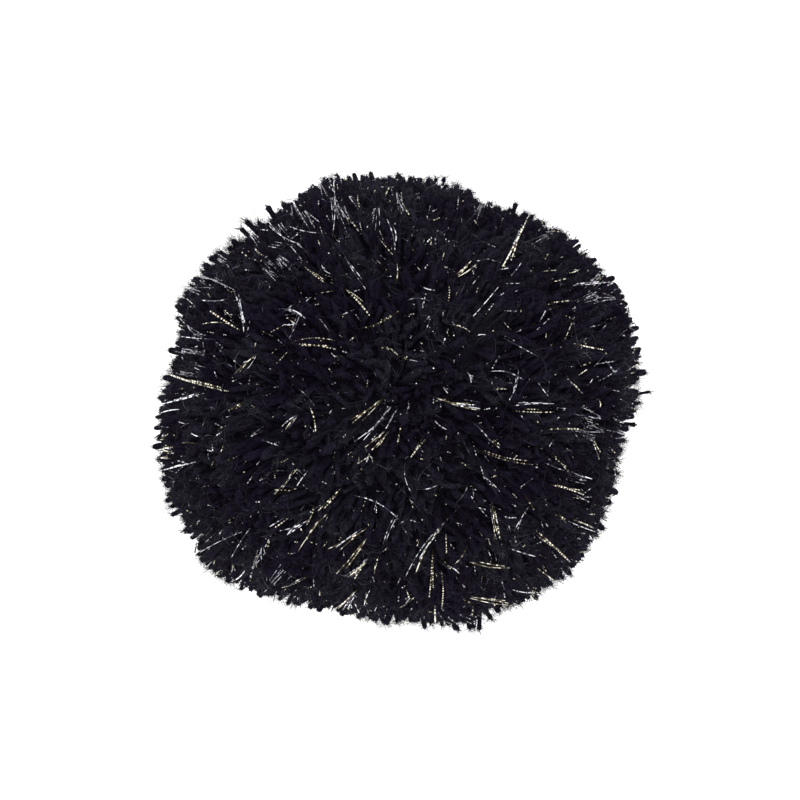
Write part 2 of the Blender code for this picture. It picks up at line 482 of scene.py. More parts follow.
# Each row is one end as the camera sees it. It bows to its left by bow_mm.
ESCAPED = (  # x_mm, y_mm, end_x_mm, end_y_mm, bow_mm, width_mm
    (43.0, 0.9, 46.7, 1.8, 0.1, 0.55),
    (41.9, -4.2, 44.0, -4.3, 0.0, 0.90),
    (10.8, -39.3, 11.3, -42.4, -0.1, 0.55),
    (13.0, -37.6, 13.4, -42.1, 0.0, 1.10),
    (14.0, -37.8, 14.0, -41.9, 0.0, 1.10),
    (15.3, -37.8, 15.1, -42.3, 0.0, 0.95),
    (15.6, -37.5, 17.3, -40.2, 0.0, 0.90),
    (7.1, 38.8, 7.1, 41.3, 0.0, 0.75),
    (7.9, 38.4, 8.6, 41.3, 0.0, 0.75),
    (-0.6, 39.1, 0.3, 41.7, 0.6, 0.65),
    (3.4, 38.6, 4.9, 39.0, 3.0, 0.50),
    (2.9, 39.5, 2.3, 41.5, 0.0, 0.90),
    (5.3, 38.8, 6.0, 41.2, 0.0, 1.20),
    (21.2, 34.3, 21.9, 36.6, 0.0, 0.90),
    (-22.0, 33.0, -24.1, 36.1, 0.0, 1.10),
    (-20.0, 34.0, -21.2, 36.8, 0.0, 1.00),
    (-25.3, 30.7, -28.0, 33.4, 0.0, 1.00),
    (-26.5, 29.7, -29.0, 32.0, 0.0, 0.90),
    (-27.9, 27.5, -30.6, 29.8, 0.0, 1.00),
    (-30.3, 25.9, -33.1, 27.6, 0.0, 1.10),
    (-31.6, 24.9, -34.8, 26.6, 0.0, 1.00),
    (-32.5, 23.2, -35.7, 24.9, 0.0, 1.00),
)
ESCAPED_RINGS = ((0.35, 0.95), (0.35, 0.92), (0.18, 1.12), (0.08, 1.0), (0.04, 0.55))

steps = np.concatenate(([0], np.cumsum([rise for rise, _ in ESCAPED_RINGS])))[:, None]
escaped_paths = []
escaped_widths = []
for x, y, end_x, end_y, bow, width in ESCAPED:
    start, run = np.array((x, y)), np.array((end_x - x, end_y - y))
    left = np.array((-run[1], run[0])) / np.linalg.norm(run)
    track = start + run * steps + left * bow * np.sin(math.pi * steps)
    escaped_paths.append(TIE + np.pad(track * MM, ((0, 0), (0, 1))))
    escaped_widths.append(width / 2 * MM)

chance = np.random.default_rng(31)
place = np.arange(2 * RIM_ROW) / 2 + chance.normal(size=2 * RIM_ROW) * RIM_ROW_SCATTER
rim_turn = place * 2 * math.pi / RIM_ROW
rim_way = np.stack((np.cos(rim_turn), np.sin(rim_turn), np.zeros(2 * RIM_ROW)), axis=1)
longer = chance.uniform(*LONGER_TRIM, 2 * RIM_ROW)
shorter = chance.uniform(*SHORTER_TRIM, 2 * RIM_ROW)
trim = np.where(np.arange(2 * RIM_ROW) % 2, shorter, longer)
rim_tip = rim_way * (trimmed_reach(rim_way) + trim)[:, None]
lean = np.cross((0, 0, 1), rim_way) * chance.normal(size=(2 * RIM_ROW, 1)) * RIM_ROW_LEAN
steps = steps[None]
rim_paths = TIE + rim_tip[:, None] - (rim_way + lean)[:, None] * RIM_ROW_LENGTH * (1 - steps)
rim_paths[..., 2] += chance.uniform(-1, 1, (2 * RIM_ROW, 1)) * RIM_ROW_HEIGHT
rim_widths = chance.uniform(*RIM_ROW_WIDTH, 2 * RIM_ROW) / 2
rim_paths = np.concatenate((escaped_paths, rim_paths))
rim_ends = join_copies(
    "rim_ends",
    black_yarn,
    model_strand(6, ESCAPED_RINGS),
    rim_paths,
    np.concatenate((escaped_widths, rim_widths)),
    values={"shade": chance.random(len(rim_paths))},
)
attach(rim_ends, "root")

# ---------------------------------------------------------------------------------------
# The fuzz. The yarn is brushed, so short fibres stand off every end and blur it. Finer
# ones make a grey haze where the background is bright, and some long ones curl over the
# surface. A real fibre is 0.03 mm thick: here fewer and thicker ones cover as much.

FUZZ_FIBRES = 80000
FUZZ_PIECES = 2
FUZZ_LENGTH = (0.9 * MM, 2.6 * MM)
FUZZ_PROUD = 0.5 * MM  # how far it stands off the cut end of its yarn
FUZZ_WIDTH = 0.15 * MM
FUZZ_WIDTH_RANGE = (0.7, 1.3)
FUZZ_FLATNESS = 0.35
FUZZ_ALONG = 0.7  # how far the fuzz keeps to its yarn's own way
FUZZ_REACH = 0.35  # of the yarn's length carries the fuzz, and most of it is near the end
FUZZ_CROWDING = 1.5  # the higher, the more of it is near the end
FUZZ_ROOT = 0.5  # of the yarn's half width lies between its middle and the fuzz's root
SHORTER_AT_RIM = 0.7  # the fuzz at the rim is shorter by this share
LOWER_AT_RIM = 0.8  # and stands less proud by this one
LEAST_RISE = 0.2
FIBRE_ABOVE_TABLE = 0.1 * MM
FUZZ_TINTS = ("#110C19", "#211F2A", "#545360")
FUZZ_GLOSS = 0.08
HAZE_FIBRES = 46000
HAZE_ON_RIM = 24000  # of them stand on the outermost ends at the rim
HAZE_ON_END = 0.12  # the last part of an end, which carries the haze
HAZE_ON_RIM_END = (0.7, 0.94)  # and the part that carries it at the rim
HAZE_LENGTH = (0.9 * MM, 3.0 * MM)
HAZE_WIDTH = 0.055 * MM
HAZE_OUTWARDS = 0.5  # how far it keeps to the way out of the ball
HAZE_PATCHES = 6.0  # round the ball the haze thins out and thickens about this often
HAZE_PATCH_LENGTH = 1.6  # how much its length changes with the patch
HAZE_LENGTH_RANGE = (0.4, 1.8)
HAZE_TINTS = ("#0A080E", "#18151F", "#312F38")
HAZE_GLOSS = 0.1
LONG_FIBRES = 3600
LONG_LENGTH = (1.8 * MM, 4.5 * MM)
LONG_WIDTH = 0.05 * MM
LONG_ON_END = 0.3  # the last part of an end, where the long fibres come out
LONG_CURL = 1.6
LONG_START = 0.2 * MM  # how far above its yarn's end one starts
LONG_RISE = 0.8 * MM  # how high it arches over the others
LONG_ARCH = 0.8  # of a half circle
OVER_CURL = 0.6
LYING_SHARE = 0.55  # of the long ones lie along their yarn, and the rest curl over others
LYING_BACK = 0.85  # of the length of a lying one is below its root
LYING_OFF = 1.1  # of the yarn's half width is between its middle and a lying fibre
LYING_CURL = 0.3
LONG_TINTS = ("#1B1822", "#383543", "#7C798A")
LONG_GLOSS = 0.4
FUZZ_RINGS = ((1.0, 0.0),)
LONG_RINGS = ((0.34, 1.0), (0.33, 0.9), (0.33, 0.0))
WORN_FIBRE = {"To Min": 0.6, "To Max": 1.3}  # how much paler a fibre is in a worn patch
MIDDLE_TINT = 0.7  # where it lies between the deepest tint, at 0, and the palest, at 1


def brushed_fibre(name, tints, gloss):
    # Single brushed fibres: semi-matt, most as black as the yarn, and a few worn pale.
    material, shader = new_material(name)
    own = add_node(material, "ShaderNodeAttribute", {"attribute_name": "shade"})
    paler = add_node(material, "ShaderNodeMapRange", WORN_FIBRE, {"Value": worn_patches(material)})
    both = {0: own.outputs["Fac"], 1: paler}
    shade = add_node(material, "ShaderNodeMath", {"operation": "MULTIPLY"}, both)
    shades = add_node(material, "ShaderNodeValToRGB", {}, {"Fac": shade})
    shades.color_ramp.elements.new(MIDDLE_TINT)
    for stop, tint in zip(shades.color_ramp.elements, tints):
        stop.color = linear(tint)
    material.node_tree.links.new(shades.outputs["Color"], shader.inputs["Base Color"])
    shader.inputs["Roughness"].default_value = 0.6
    shader.inputs["Specular IOR Level"].default_value = gloss
    return material


def point_on(paths, owner, share):
    """A point at this share of the length of each owner's path."""
    place = share * (paths.shape[1] - 1)
    low = np.minimum(place.astype(int), paths.shape[1] - 2)
    part = (place - low)[:, None]
    return paths[owner, low] * (1 - part) + paths[owner, low + 1] * part


chance = np.random.default_rng(23)
owner = chance.integers(0, YARN_ENDS, FUZZ_FIBRES)
share = 1 - chance.random(FUZZ_FIBRES) ** FUZZ_CROWDING * FUZZ_REACH
root = point_on(yarn_paths, owner, share)
outwards = unit(root - TIE)
way = unit(outwards * FUZZ_ALONG + unit(chance.normal(size=(FUZZ_FIBRES, 3))))
length = chance.uniform(*FUZZ_LENGTH, FUZZ_FIBRES) * (1 - SHORTER_AT_RIM * at_rim[owner])
to_cut = np.linalg.norm(yarn_paths[owner, -1] - root, axis=1)
upwards = np.maximum((way * outwards).sum(1), LEAST_RISE)
proud = FUZZ_PROUD * (1 - LOWER_AT_RIM * at_rim[owner])
length = np.minimum(length, (to_cut + proud) / upwards)[:, None]
root = root + way * half_yarn[owner, None] * FUZZ_ROOT
fuzz_paths = above_table(np.stack((root, root + way * length), axis=1), FIBRE_ABOVE_TABLE)
fuzz_widths = FUZZ_WIDTH / 2 * chance.uniform(*FUZZ_WIDTH_RANGE, FUZZ_FIBRES)
fuzz_fibre = model_strand(3, FUZZ_RINGS, FUZZ_FLATNESS)
fuzz_look = brushed_fibre("brushed_fuzz", FUZZ_TINTS, FUZZ_GLOSS)
fuzz_shade = chance.random(FUZZ_FIBRES)
for piece_number in range(FUZZ_PIECES):
    own = np.arange(FUZZ_FIBRES) % FUZZ_PIECES == piece_number
    fuzz = join_copies(
        f"fuzz_{piece_number + 1}",
        fuzz_look,
        fuzz_fibre,
        fuzz_paths[own],
        fuzz_widths[own],
        values={"shade": fuzz_shade[own]},
    )
    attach(fuzz, "root")

# The haze.
owner = chance.integers(0, YARN_ENDS, HAZE_FIBRES)
root = point_on(yarn_paths, owner, 1 - chance.random(HAZE_FIBRES) * HAZE_ON_END)
owner = chance.integers(0, len(rim_paths), HAZE_ON_RIM)
root[:HAZE_ON_RIM] = point_on(rim_paths, owner, chance.uniform(*HAZE_ON_RIM_END, HAZE_ON_RIM))
outwards = unit(root - TIE)
way = unit(outwards * HAZE_OUTWARDS + unit(chance.normal(size=(HAZE_FIBRES, 3))))
patch = np.array([noise.noise(Vector(w) * HAZE_PATCHES) for w in outwards])
patch_length = (1 + HAZE_PATCH_LENGTH * patch).clip(*HAZE_LENGTH_RANGE)
length = chance.uniform(*HAZE_LENGTH, HAZE_FIBRES) * patch_length
haze = join_copies(
    "haze",
    brushed_fibre("fine_fibre", HAZE_TINTS, HAZE_GLOSS),
    fuzz_fibre,
    above_table(np.stack((root, root + way * length[:, None]), axis=1), FIBRE_ABOVE_TABLE),
    np.full(HAZE_FIBRES, HAZE_WIDTH / 2),
    values={"shade": chance.random(HAZE_FIBRES)},
)
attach(haze, "root")

# The long fibres. One rises a little, runs aside and curls, or it lies along its yarn.
owner = chance.integers(0, YARN_ENDS, LONG_FIBRES)
root = point_on(yarn_paths, owner, 1 - chance.random(LONG_FIBRES) * LONG_ON_END)
outwards = unit(root - TIE)
aside = unit(np.cross(outwards, chance.normal(size=(LONG_FIBRES, 3))))
turned = np.cross(outwards, aside)
length = chance.uniform(*LONG_LENGTH, LONG_FIBRES)[:, None, None]
steps = np.linspace(0, 1, len(LONG_RINGS) + 1)[None, :, None]
curl = chance.uniform(-LONG_CURL, LONG_CURL, (LONG_FIBRES, 1, 1))
over_others = (
    outwards[:, None] * (LONG_RISE * np.sin(math.pi * steps * LONG_ARCH) + LONG_START)
    + aside[:, None] * length * steps
    + turned[:, None] * length * curl * steps**2 * OVER_CURL
)
along_yarn = (
    outwards[:, None] * length * (steps - LYING_BACK)
    + aside[:, None] * half_yarn[owner, None, None] * LYING_OFF
    + turned[:, None] * length * curl * (steps - 0.5) ** 2 * LYING_CURL
)
lying = (chance.random(LONG_FIBRES) < LYING_SHARE)[:, None, None]
long_paths = root[:, None] + np.where(lying, along_yarn, over_others)
strays = join_copies(
    "long_fibres",
    brushed_fibre("long_loose_fibre", LONG_TINTS, LONG_GLOSS),
    model_strand(3, LONG_RINGS),
    above_table(long_paths, FIBRE_ABOVE_TABLE),
    np.full(LONG_FIBRES, LONG_WIDTH / 2),
    values={"shade": chance.random(LONG_FIBRES)},
)
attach(strays, "root")

# ---------------------------------------------------------------------------------------
# The metallised threads. A flat film, coated gold or silver and slit 0.3 mm wide, is
# spun in with the yarn. It is stiffer than the yarn, so it shows as bright bristles that
# stand out radially, twisted, with the black yarn's fibres crossing them.

LOOSE_THREADS = 4400
THREAD_SCATTER = 0.5
THREAD_WIDTH = 0.22 * MM  # as it shows, twisted
THREAD_WIDTH_RANGE = (0.5, 1.25)
THREAD_RINGS = ((0.5, 1.0), (0.5, 1.0))
THREAD_SHOWN = (1.0 * MM, 7.0 * MM)
THREAD_PROUD = (-3.2 * MM, 0.2 * MM)  # how far past the trimmed surface it ends
THREAD_LEAN = 0.03
THREAD_FOLLOWS = 0.6  # how far it leans with the yarn round it
THREAD_LEAN_CURVE = 1.5
THREAD_ABOVE_TABLE = 0.3 * MM
THREAD_VARIETY = 10.0  # how far apart the threads' patterns start
GOLD_SHARE = 0.34
GOLD_BEADS = 0.78 * MM
SILVER_BEADS = 0.85 * MM
BEAD_DRIFT = 24.0  # in radians, how far the beads stray from an even row
# The bright beads are painted glints where the twisted film would catch the light. The gaps between them
# are the black fibres that bind it.
GLEAM_LENGTH = 1.3 * MM  # over which the beads' spacing and brightness change
GLEAM = {"From Min": 0.38, "From Max": 0.62, "To Min": 0.4, "To Max": 1.4}
OWN_GLEAM = {"To Min": 0.58, "To Max": 1.3}  # one thread is this much brighter than the next
# Painted shade: the glints are darker near the root, where the thread goes in among the yarn.
PAINTED_ROOT_SHADE = {"From Max": 0.7, "To Min": 0.72, "To Max": 1.06}  # duller near its root
FILM_ROUGHNESS = 0.33
BOUND = 0.49  # of a bead's full brightness: below it the black fibres cover the film
FLANK = 0.10  # a bead's flank lies this much above it, and its bright middle twice as much
# Bound by black fibres, a painted half-light on the flank of a bead, and a painted highlight where it
# catches the light.
GOLD = ("#2A2418", "#B5AA8B", "#FFF9E4")
SILVER = ("#3A3A44", "#A0A0AC", "#FAFAFE")


def metallised_film(name, tints, bead_spacing, bound, gleam_length):
    # Polyester film with a coat of metal, twisted and bound with black yarn fibres: it
    # shows as a row of tiny bright beads with dark gaps where the fibres cross it. The beads
    # are painted glints: painted highlights where the twisted film would catch the light, with a
    # painted half-light on their flanks. Both the beads' spacing and their brightness wander
    # along the thread, and near the root they are darker, a painted shade.
    material, shader = new_material(name)
    length, own, shade, share = [
        add_node(material, "ShaderNodeAttribute", {"attribute_name": value}).outputs["Fac"]
        for value in ("along", "chance", "shade", "share")
    ]
    place = add_node(material, "ShaderNodeCombineXYZ", {}, {"X": length, "Y": own})
    wandering = {"Scale": 1 / gleam_length, "Detail": 3.0, "Roughness": 0.6}
    uneven = add_node(material, "ShaderNodeTexNoise", wandering, {"Vector": place})
    times, plus = {"operation": "MULTIPLY"}, {"operation": "ADD"}
    turn = add_node(material, "ShaderNodeMath", {**times, 1: 2 * math.pi / bead_spacing}, {0: length})
    drift = add_node(material, "ShaderNodeMath", {**times, 1: BEAD_DRIFT}, {0: uneven})
    moved = add_node(material, "ShaderNodeMath", plus, {0: turn, 1: drift})
    phase = add_node(material, "ShaderNodeMath", {**times, 1: 2 * math.pi}, {0: own})
    angle = add_node(material, "ShaderNodeMath", plus, {0: moved, 1: phase})
    beads = add_node(material, "ShaderNodeMath", {"operation": "SINE"}, {0: angle})
    painted_glint = add_node(material, "ShaderNodeMapRange", {"From Min": -1.0}, {"Value": beads})
    for stretch, value in ((GLEAM, uneven), (OWN_GLEAM, shade), (PAINTED_ROOT_SHADE, share)):
        factor = add_node(material, "ShaderNodeMapRange", stretch, {"Value": value})
        painted_glint = add_node(material, "ShaderNodeMath", times, {0: painted_glint, 1: factor})
    # The painted glint level picks the tint: bound by black fibres, a painted half-light, or a painted
    # highlight.
    shades = add_node(material, "ShaderNodeValToRGB", {}, {"Fac": painted_glint})
    shades.color_ramp.elements.new(bound + FLANK)
    shades.color_ramp.elements[0].position = bound
    shades.color_ramp.elements[2].position = bound + 2 * FLANK
    for stop, tint in zip(shades.color_ramp.elements, tints):
        stop.color = linear(tint)
    material.node_tree.links.new(shades.outputs["Color"], shader.inputs["Base Color"])
    shader.inputs["Metallic"].default_value = 1.0
    shader.inputs["Roughness"].default_value = FILM_ROUGHNESS
    return material


gold_film = metallised_film("gold_film", GOLD, GOLD_BEADS, BOUND, GLEAM_LENGTH)
silver_film = metallised_film("silver_film", SILVER, SILVER_BEADS, BOUND, GLEAM_LENGTH)

chance = np.random.default_rng(41)
thread_directions = even_directions(LOOSE_THREADS, chance, THREAD_SCATTER)
lean = patch_lean(thread_directions, SWIRL_WIDTH) * SWIRL_LEAN * THREAD_FOLLOWS
lean = lean + chance.normal(size=(LOOSE_THREADS, 3)) * THREAD_LEAN
steps = np.linspace(0, 1, len(THREAD_RINGS) + 1)[None, :, None]
thread_way = unit(thread_directions[:, None] + lean[:, None] * steps**THREAD_LEAN_CURVE)
tip_way = thread_way[:, -1]
tip_reach = trimmed_reach(tip_way) + chance.uniform(*THREAD_PROUD, LOOSE_THREADS)
to_table = (TIE[2] - THREAD_ABOVE_TABLE) / np.maximum(-tip_way[:, 2], LEAST_FALL)
tip_reach = np.minimum(tip_reach, to_table)[:, None, None]
shown = chance.uniform(*THREAD_SHOWN, LOOSE_THREADS)[:, None, None]
thread_paths = TIE + thread_way * (tip_reach - shown * (1 - steps))
thread_paths = above_table(thread_paths, THREAD_ABOVE_TABLE)
thread_chance = chance.uniform(0, THREAD_VARIETY, LOOSE_THREADS)
is_gold = chance.random(LOOSE_THREADS) < GOLD_SHARE
thread_shade = chance.random(LOOSE_THREADS)
thread = model_strand(3, THREAD_RINGS)
for metal, own, film in (("gold", is_gold, gold_film), ("silver", ~is_gold, silver_film)):
    threads = join_copies(
        f"{metal}_threads",
        film,
        thread,
        thread_paths[own],
        THREAD_WIDTH / 2 * chance.uniform(*THREAD_WIDTH_RANGE, own.sum()),
        phase=thread_chance[own],
        values={"chance": thread_chance[own], "shade": thread_shade[own]},
    )
    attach(threads, "root")

# ---------------------------------------------------------------------------------------
# The threads that have slipped out of the yarn and lie over the ball, alone or as fans of
# film that split lengthwise where it was cut. They catch the light along their whole length.

# Each row is one thread or fan as the camera sees it, from where it comes out of the yarn
# to its free end. It bows to its left by bow_mm, and its ends are fan_mm apart.
SLIPPED = (  # x_mm, y_mm, end_x_mm, end_y_mm, bow_mm, threads, fan_mm, metal
    (-1.0, 1.9, -8.2, -4.0, 0, 3, 1.7, "both"),
    (-0.6, 0.1, -7.5, -7.7, 0.6, 3, 1.3, "silver"),
    (-0.1, -1.2, -1.9, -5.1, 0, 2, 0.1, "silver"),
    (-1.2, -4.5, -5.1, -9.3, 0, 5, 2.2, "gold"),
    (1.0, -4.2, -0.1, -8.0, 0, 2, 0.1, "gold"),
    (2.5, -0.1, 1.6, -2.1, 0, 1, 0, "silver"),
    (5.1, -6.2, 2.5, -10.5, 0, 2, 0.6, "gold"),
    (-5.1, -9.3, -6.6, -11.9, 0, 3, 1.7, "both"),
    (1.4, -10.6, 2.9, -17.1, -0.7, 1, 0, "silver"),
    (3.4, -16.2, 7.5, -15.3, 0, 1, 0, "silver"),
    (6.6, -3.2, 9.0, -5.3, 0, 1, 0, "silver"),
    (6.2, 1.4, 15.3, -0.8, -0.6, 4, 1.5, "gold"),
    (8.8, -0.5, 15.3, -0.8, 0, 2, 0.6, "silver"),
    (8.2, 3.4, 9.7, 1.9, 0, 2, 0.7, "silver"),
    (13.2, -3.1, 17.3, -7.5, 0, 1, 0, "silver"),
    (16.9, -6.6, 19.3, -8.4, 0, 2, 0.6, "gold"),
    (14.2, -8.4, 25.1, -11.2, -0.6, 2, 0.7, "gold"),
    (11.0, -10.8, 13.4, -12.5, 0, 1, 0, "gold"),
    (15.4, -13.6, 19.1, -16.4, 0, 1, 0, "silver"),
    (13.2, -14.9, 11.0, -18.6, 0, 1, 0, "silver"),
    (20.1, -0.8, 29.0, -0.6, 0.4, 2, 0.1, "both"),
    (20.8, -1.4, 29.1, -1.8, 0, 2, 0.1, "gold"),
    (22.3, 6.4, 20.8, 0.3, 0, 2, 0.1, "silver"),
    (16.2, 5.1, 23.4, 4.0, 1.1, 1, 0, "both"),
    (25.4, 4.0, 27.8, 1.0, 0, 1, 0, "silver"),
    (30.8, 5.1, 34.3, 1.4, 0, 2, 0.1, "both"),
    (26.9, -5.1, 34.5, -5.3, 0, 2, 0.6, "gold"),
    (12.7, 5.6, 14.2, 4.0, 0, 3, 1.5, "silver"),
    (37.5, 0.5, 37.3, -1.2, 0, 1, 0, "gold"),
    (35.6, -6.4, 37.8, -10.5, 0, 2, 0.6, "both"),
    (28.2, -9.2, 32.5, -13.6, 0, 2, 0.7, "gold"),
    (32.5, -13.6, 36.0, -14.2, 0, 1, 0, "silver"),
    (27.8, -14.9, 34.5, -17.1, 0, 2, 0.6, "both"),
    (29.0, -20.6, 31.4, -22.3, 0, 2, 0.1, "gold"),
    (31.7, -21.7, 36.7, -24.1, 0, 2, 0.7, "both"),
    (26.9, -11.0, 30.8, -12.9, 0, 1, 0, "silver"),
    (-4.2, 9.9, 0.3, 8.4, 0.6, 2, 0.1, "gold"),
    (0.6, 7.3, 3.6, 7.9, 0, 1, 0, "silver"),
    (9.2, 14.2, 13.4, 12.9, 0.4, 2, 0.1, "gold"),
    (13.8, 11.6, 16.7, 12.3, 0, 1, 0, "silver"),
    (-20.1, 10.8, -11.4, 11.2, 0.4, 2, 0.1, "both"),
    (-19.9, 10.5, -11.2, 10.1, 0, 2, 0.6, "gold"),
    (-14.9, 15.8, -12.5, 12.9, 0, 1, 0, "silver"),
    (-7.9, 12.9, 0.1, 16.9, -0.6, 2, 0.1, "both"),
    (-10.8, 21.7, -4.7, 15.8, 0.4, 2, 0.6, "both"),
    (-10.3, 27.5, -5.6, 21.0, 0, 2, 0.1, "silver"),
    (-17.3, 24.9, -13.4, 22.1, 0, 2, 0.1, "gold"),
    (-14.2, 25.8, -12.1, 23.6, 0, 1, 0, "silver"),
    (-3.8, 30.6, -1.0, 27.1, 0, 1, 0, "gold"),
    (-1.8, 33.8, -0.6, 28.0, 0.7, 2, 0.1, "both"),
    (0.3, 25.8, -0.3, 21.9, 0, 1, 0, "gold"),
    (0.6, 37.5, 2.1, 34.5, 0, 2, 0.1, "both"),
    (5.5, 33.2, 7.7, 34.3, 0, 1, 0, "gold"),
    (6.2, 30.8, 6.4, 29.0, 0, 1, 0, "gold"),
    (10.1, 22.5, 14.2, 26.0, 0, 4, 1.5, "gold"),
    (13.4, 25.4, 14.5, 23.8, 0, 2, 0.7, "silver"),
    (9.2, 21.9, 9.5, 18.6, 0, 1, 0, "gold"),
    (11.9, 20.8, 10.8, 19.7, 0, 1, 0, "gold"),
    (4.3, 21.9, 6.9, 20.4, 0, 1, 0, "silver"),
    (1.2, 18.4, 6.0, 18.6, 0.7, 1, 0, "both"),
    (23.6, 33.6, 19.9, 24.7, 0, 3, 0.9, "both"),
    (23.2, 25.8, 21.4, 23.2, 0, 1, 0, "silver"),
    (18.8, 21.7, 15.8, 17.7, 0, 1, 0, "both"),
    (19.3, 12.1, 26.2, 8.2, 0, 1, 0, "silver"),
    (-16.0, 31.5, -19.7, 37.8, 0, 2, 0.6, "silver"),
    (-13.2, 31.0, -19.9, 32.3, 0, 1, 0, "silver"),
    (-17.7, 28.8, -24.5, 33.6, 0.6, 2, 0.6, "silver"),
    (-11.7, 30.6, -11.7, 40.8, 0, 1, 0, "silver"),
    (-6.8, 35.6, -7.5, 38.2, 0, 1, 0, "gold"),
    (-24.3, 26.9, -26.2, 28.6, 0, 1, 0, "gold"),
    (-31.0, 19.3, -36.2, 18.6, 0, 1, 0, "silver"),
    (-29.7, 20.1, -28.0, 13.0, 0, 3, 0.7, "silver"),
    (-18.0, 18.0, -19.9, 11.7, 0, 2, 0.1, "silver"),
    (-21.9, 17.1, -16.9, 15.6, 0.4, 2, 0.1, "both"),
    (-18.6, 14.7, -21.0, 14.0, 0, 1, 0, "silver"),
    (-20.3, 9.5, -22.3, 6.9, 0, 1, 0, "gold"),
    (-25.3, 9.3, -29.7, 4.7, 0, 3, 1.3, "both"),
    (-28.8, 13.0, -34.7, 16.6, 0, 1, 0, "both"),
    (-30.8, 14.3, -36.2, 14.2, 0, 1, 0, "both"),
    (-36.2, 11.9, -39.1, 14.0, 0, 2, 0.6, "silver"),
    (-33.9, 11.7, -40.1, 11.9, 0, 1, 0, "silver"),
    (-31.0, 1.9, -42.6, 4.9, 0, 2, 0.5, "gold"),
    (-35.8, 1.6, -44.1, -0.5, 0, 2, 0.1, "silver"),
    (-40.4, -1.4, -43.8, -1.9, 0, 1, 0, "silver"),
    (-28.0, 0.1, -31.2, -1.9, 0, 2, 0.1, "gold"),
    (-36.2, -6.4, -38.2, -6.2, 0, 1, 0, "both"),
    (-36.4, -7.7, -39.7, -7.5, 0, 1, 0, "gold"),
    (-41.2, -8.8, -43.8, -8.8, 0, 2, 0.1, "gold"),
    (-41.9, -10.5, -43.9, -10.3, 0, 2, 0.1, "gold"),
    (-37.3, -11.2, -43.8, -12.9, 0, 2, 0.1, "silver"),
    (-18.4, -2.3, -20.8, -5.1, 0, 3, 1.1, "both"),
    (-25.3, -6.9, -22.1, -8.0, 0, 2, 0.1, "silver"),
    (-19.1, -9.9, -22.5, -11.7, 0, 2, 0.6, "gold"),
    (-18.4, -11.7, -22.3, -17.5, 0, 3, 1.3, "both"),
    (-16.6, -12.5, -18.8, -15.4, 0, 1, 0, "silver"),
    (-18.6, 2.9, -15.6, -0.8, 0, 1, 0, "silver"),
    (-17.3, 1.0, -14.9, -5.8, 0.6, 1, 0, "gold"),
    (-10.3, -16.2, -14.5, -20.3, 0, 2, 0.6, "gold"),
    (-16.4, -21.7, -21.2, -24.7, 0, 4, 1.5, "both"),
    (-15.3, -18.6, -16.4, -22.5, 0, 1, 0, "gold"),
    (-12.5, -20.3, -18.0, -28.0, -0.6, 3, 1.1, "gold"),
    (-8.2, -17.3, 0.3, -21.7, 0.6, 1, 0, "both"),
    (-5.3, -22.8, -12.3, -28.0, 0, 3, 1.3, "both"),
    (-4.7, -24.1, -11.0, -32.1, 0, 3, 0.7, "gold"),
    (-5.3, -28.8, -9.2, -33.0, 0, 5, 2.0, "both"),
    (-3.2, -28.4, -4.2, -31.9, 0, 2, 0.1, "gold"),
    (0.3, -19.9, -2.5, -26.4, 0, 2, 0.1, "both"),
    (-7.3, -34.9, -11.2, -39.3, 0, 5, 2.2, "both"),
    (-5.1, -34.7, -5.8, -37.8, 0, 2, 0.1, "both"),
    (3.1, -35.8, 0.6, -38.4, 0, 2, 0.7, "both"),
    (-28.8, -24.0, -36.5, -28.0, 0, 1, 0, "silver"),
    (-26.9, -23.4, -30.8, -28.8, 0, 1, 0, "silver"),
    (-20.1, -21.0, -23.4, -23.4, 0, 2, 0.6, "both"),
    (-25.1, -26.4, -24.5, -29.1, 0, 2, 0.9, "silver"),
    (-25.8, -27.1, -26.4, -29.5, 0, 1, 0, "gold"),
    (-28.4, -31.2, -30.8, -33.4, 0, 1, 0, "silver"),
    (-16.7, -32.5, -21.2, -34.7, 0, 2, 0.6, "both"),
    (9.9, -21.7, 2.1, -32.8, -0.7, 4, 1.5, "both"),
    (6.6, -27.3, 6.4, -36.2, 0, 2, 0.7, "gold"),
    (8.2, -31.2, 8.4, -38.4, 0, 1, 0, "gold"),
    (9.3, -23.4, 9.2, -28.2, 0, 1, 0, "gold"),
    (13.2, -26.4, 10.6, -29.9, 0.6, 1, 0, "gold"),
    (9.3, -30.4, 11.4, -31.7, 0, 1, 0, "silver"),
    (6.8, -37.6, 6.8, -40.8, 0, 1, 0, "gold"),
    (17.3, -18.6, 18.4, -25.6, 0, 3, 0.9, "both"),
    (17.7, -19.5, 19.1, -25.6, 0, 2, 0.1, "gold"),
    (24.0, -19.1, 21.7, -24.0, 0, 2, 0.6, "both"),
    (23.2, -16.9, 25.1, -20.1, 0, 1, 0, "gold"),
    (19.3, -20.8, 21.9, -21.7, 0, 1, 0, "silver"),
    (25.3, -23.8, 32.1, -29.5, 0, 2, 0.6, "gold"),
    (25.8, -30.8, 29.3, -33.6, 0, 1, 0, "gold"),
    (20.3, -27.3, 25.4, -28.8, 0, 1, 0, "silver"),
    (13.0, -29.1, 20.8, -30.6, -0.4, 3, 0.6, "gold"),
    (13.4, -36.2, 21.2, -37.5, 0, 3, 0.7, "gold"),
    (21.2, -34.7, 25.4, -35.6, 0, 1, 0, "silver"),
    (31.2, 24.0, 33.6, 24.5, 0, 1, 0, "gold"),
    (32.5, 21.7, 39.1, 22.1, 0, 2, 0.1, "silver"),
    (28.0, 18.2, 31.7, 18.6, 0, 1, 0, "gold"),
    (32.1, 10.8, 38.0, 9.5, -0.4, 1, 0, "gold"),
)
SLIPPED_RINGS = ((0.125, 1.0),) * 8
SLIPPED_WIDTH = {"gold": 0.24 * MM, "split_gold": 0.21 * MM, "silver": 0.17 * MM}
SLIPPED_WIDTH_RANGE = (0.5, 1.35)
SLIPPED_FLATNESS = 0.4
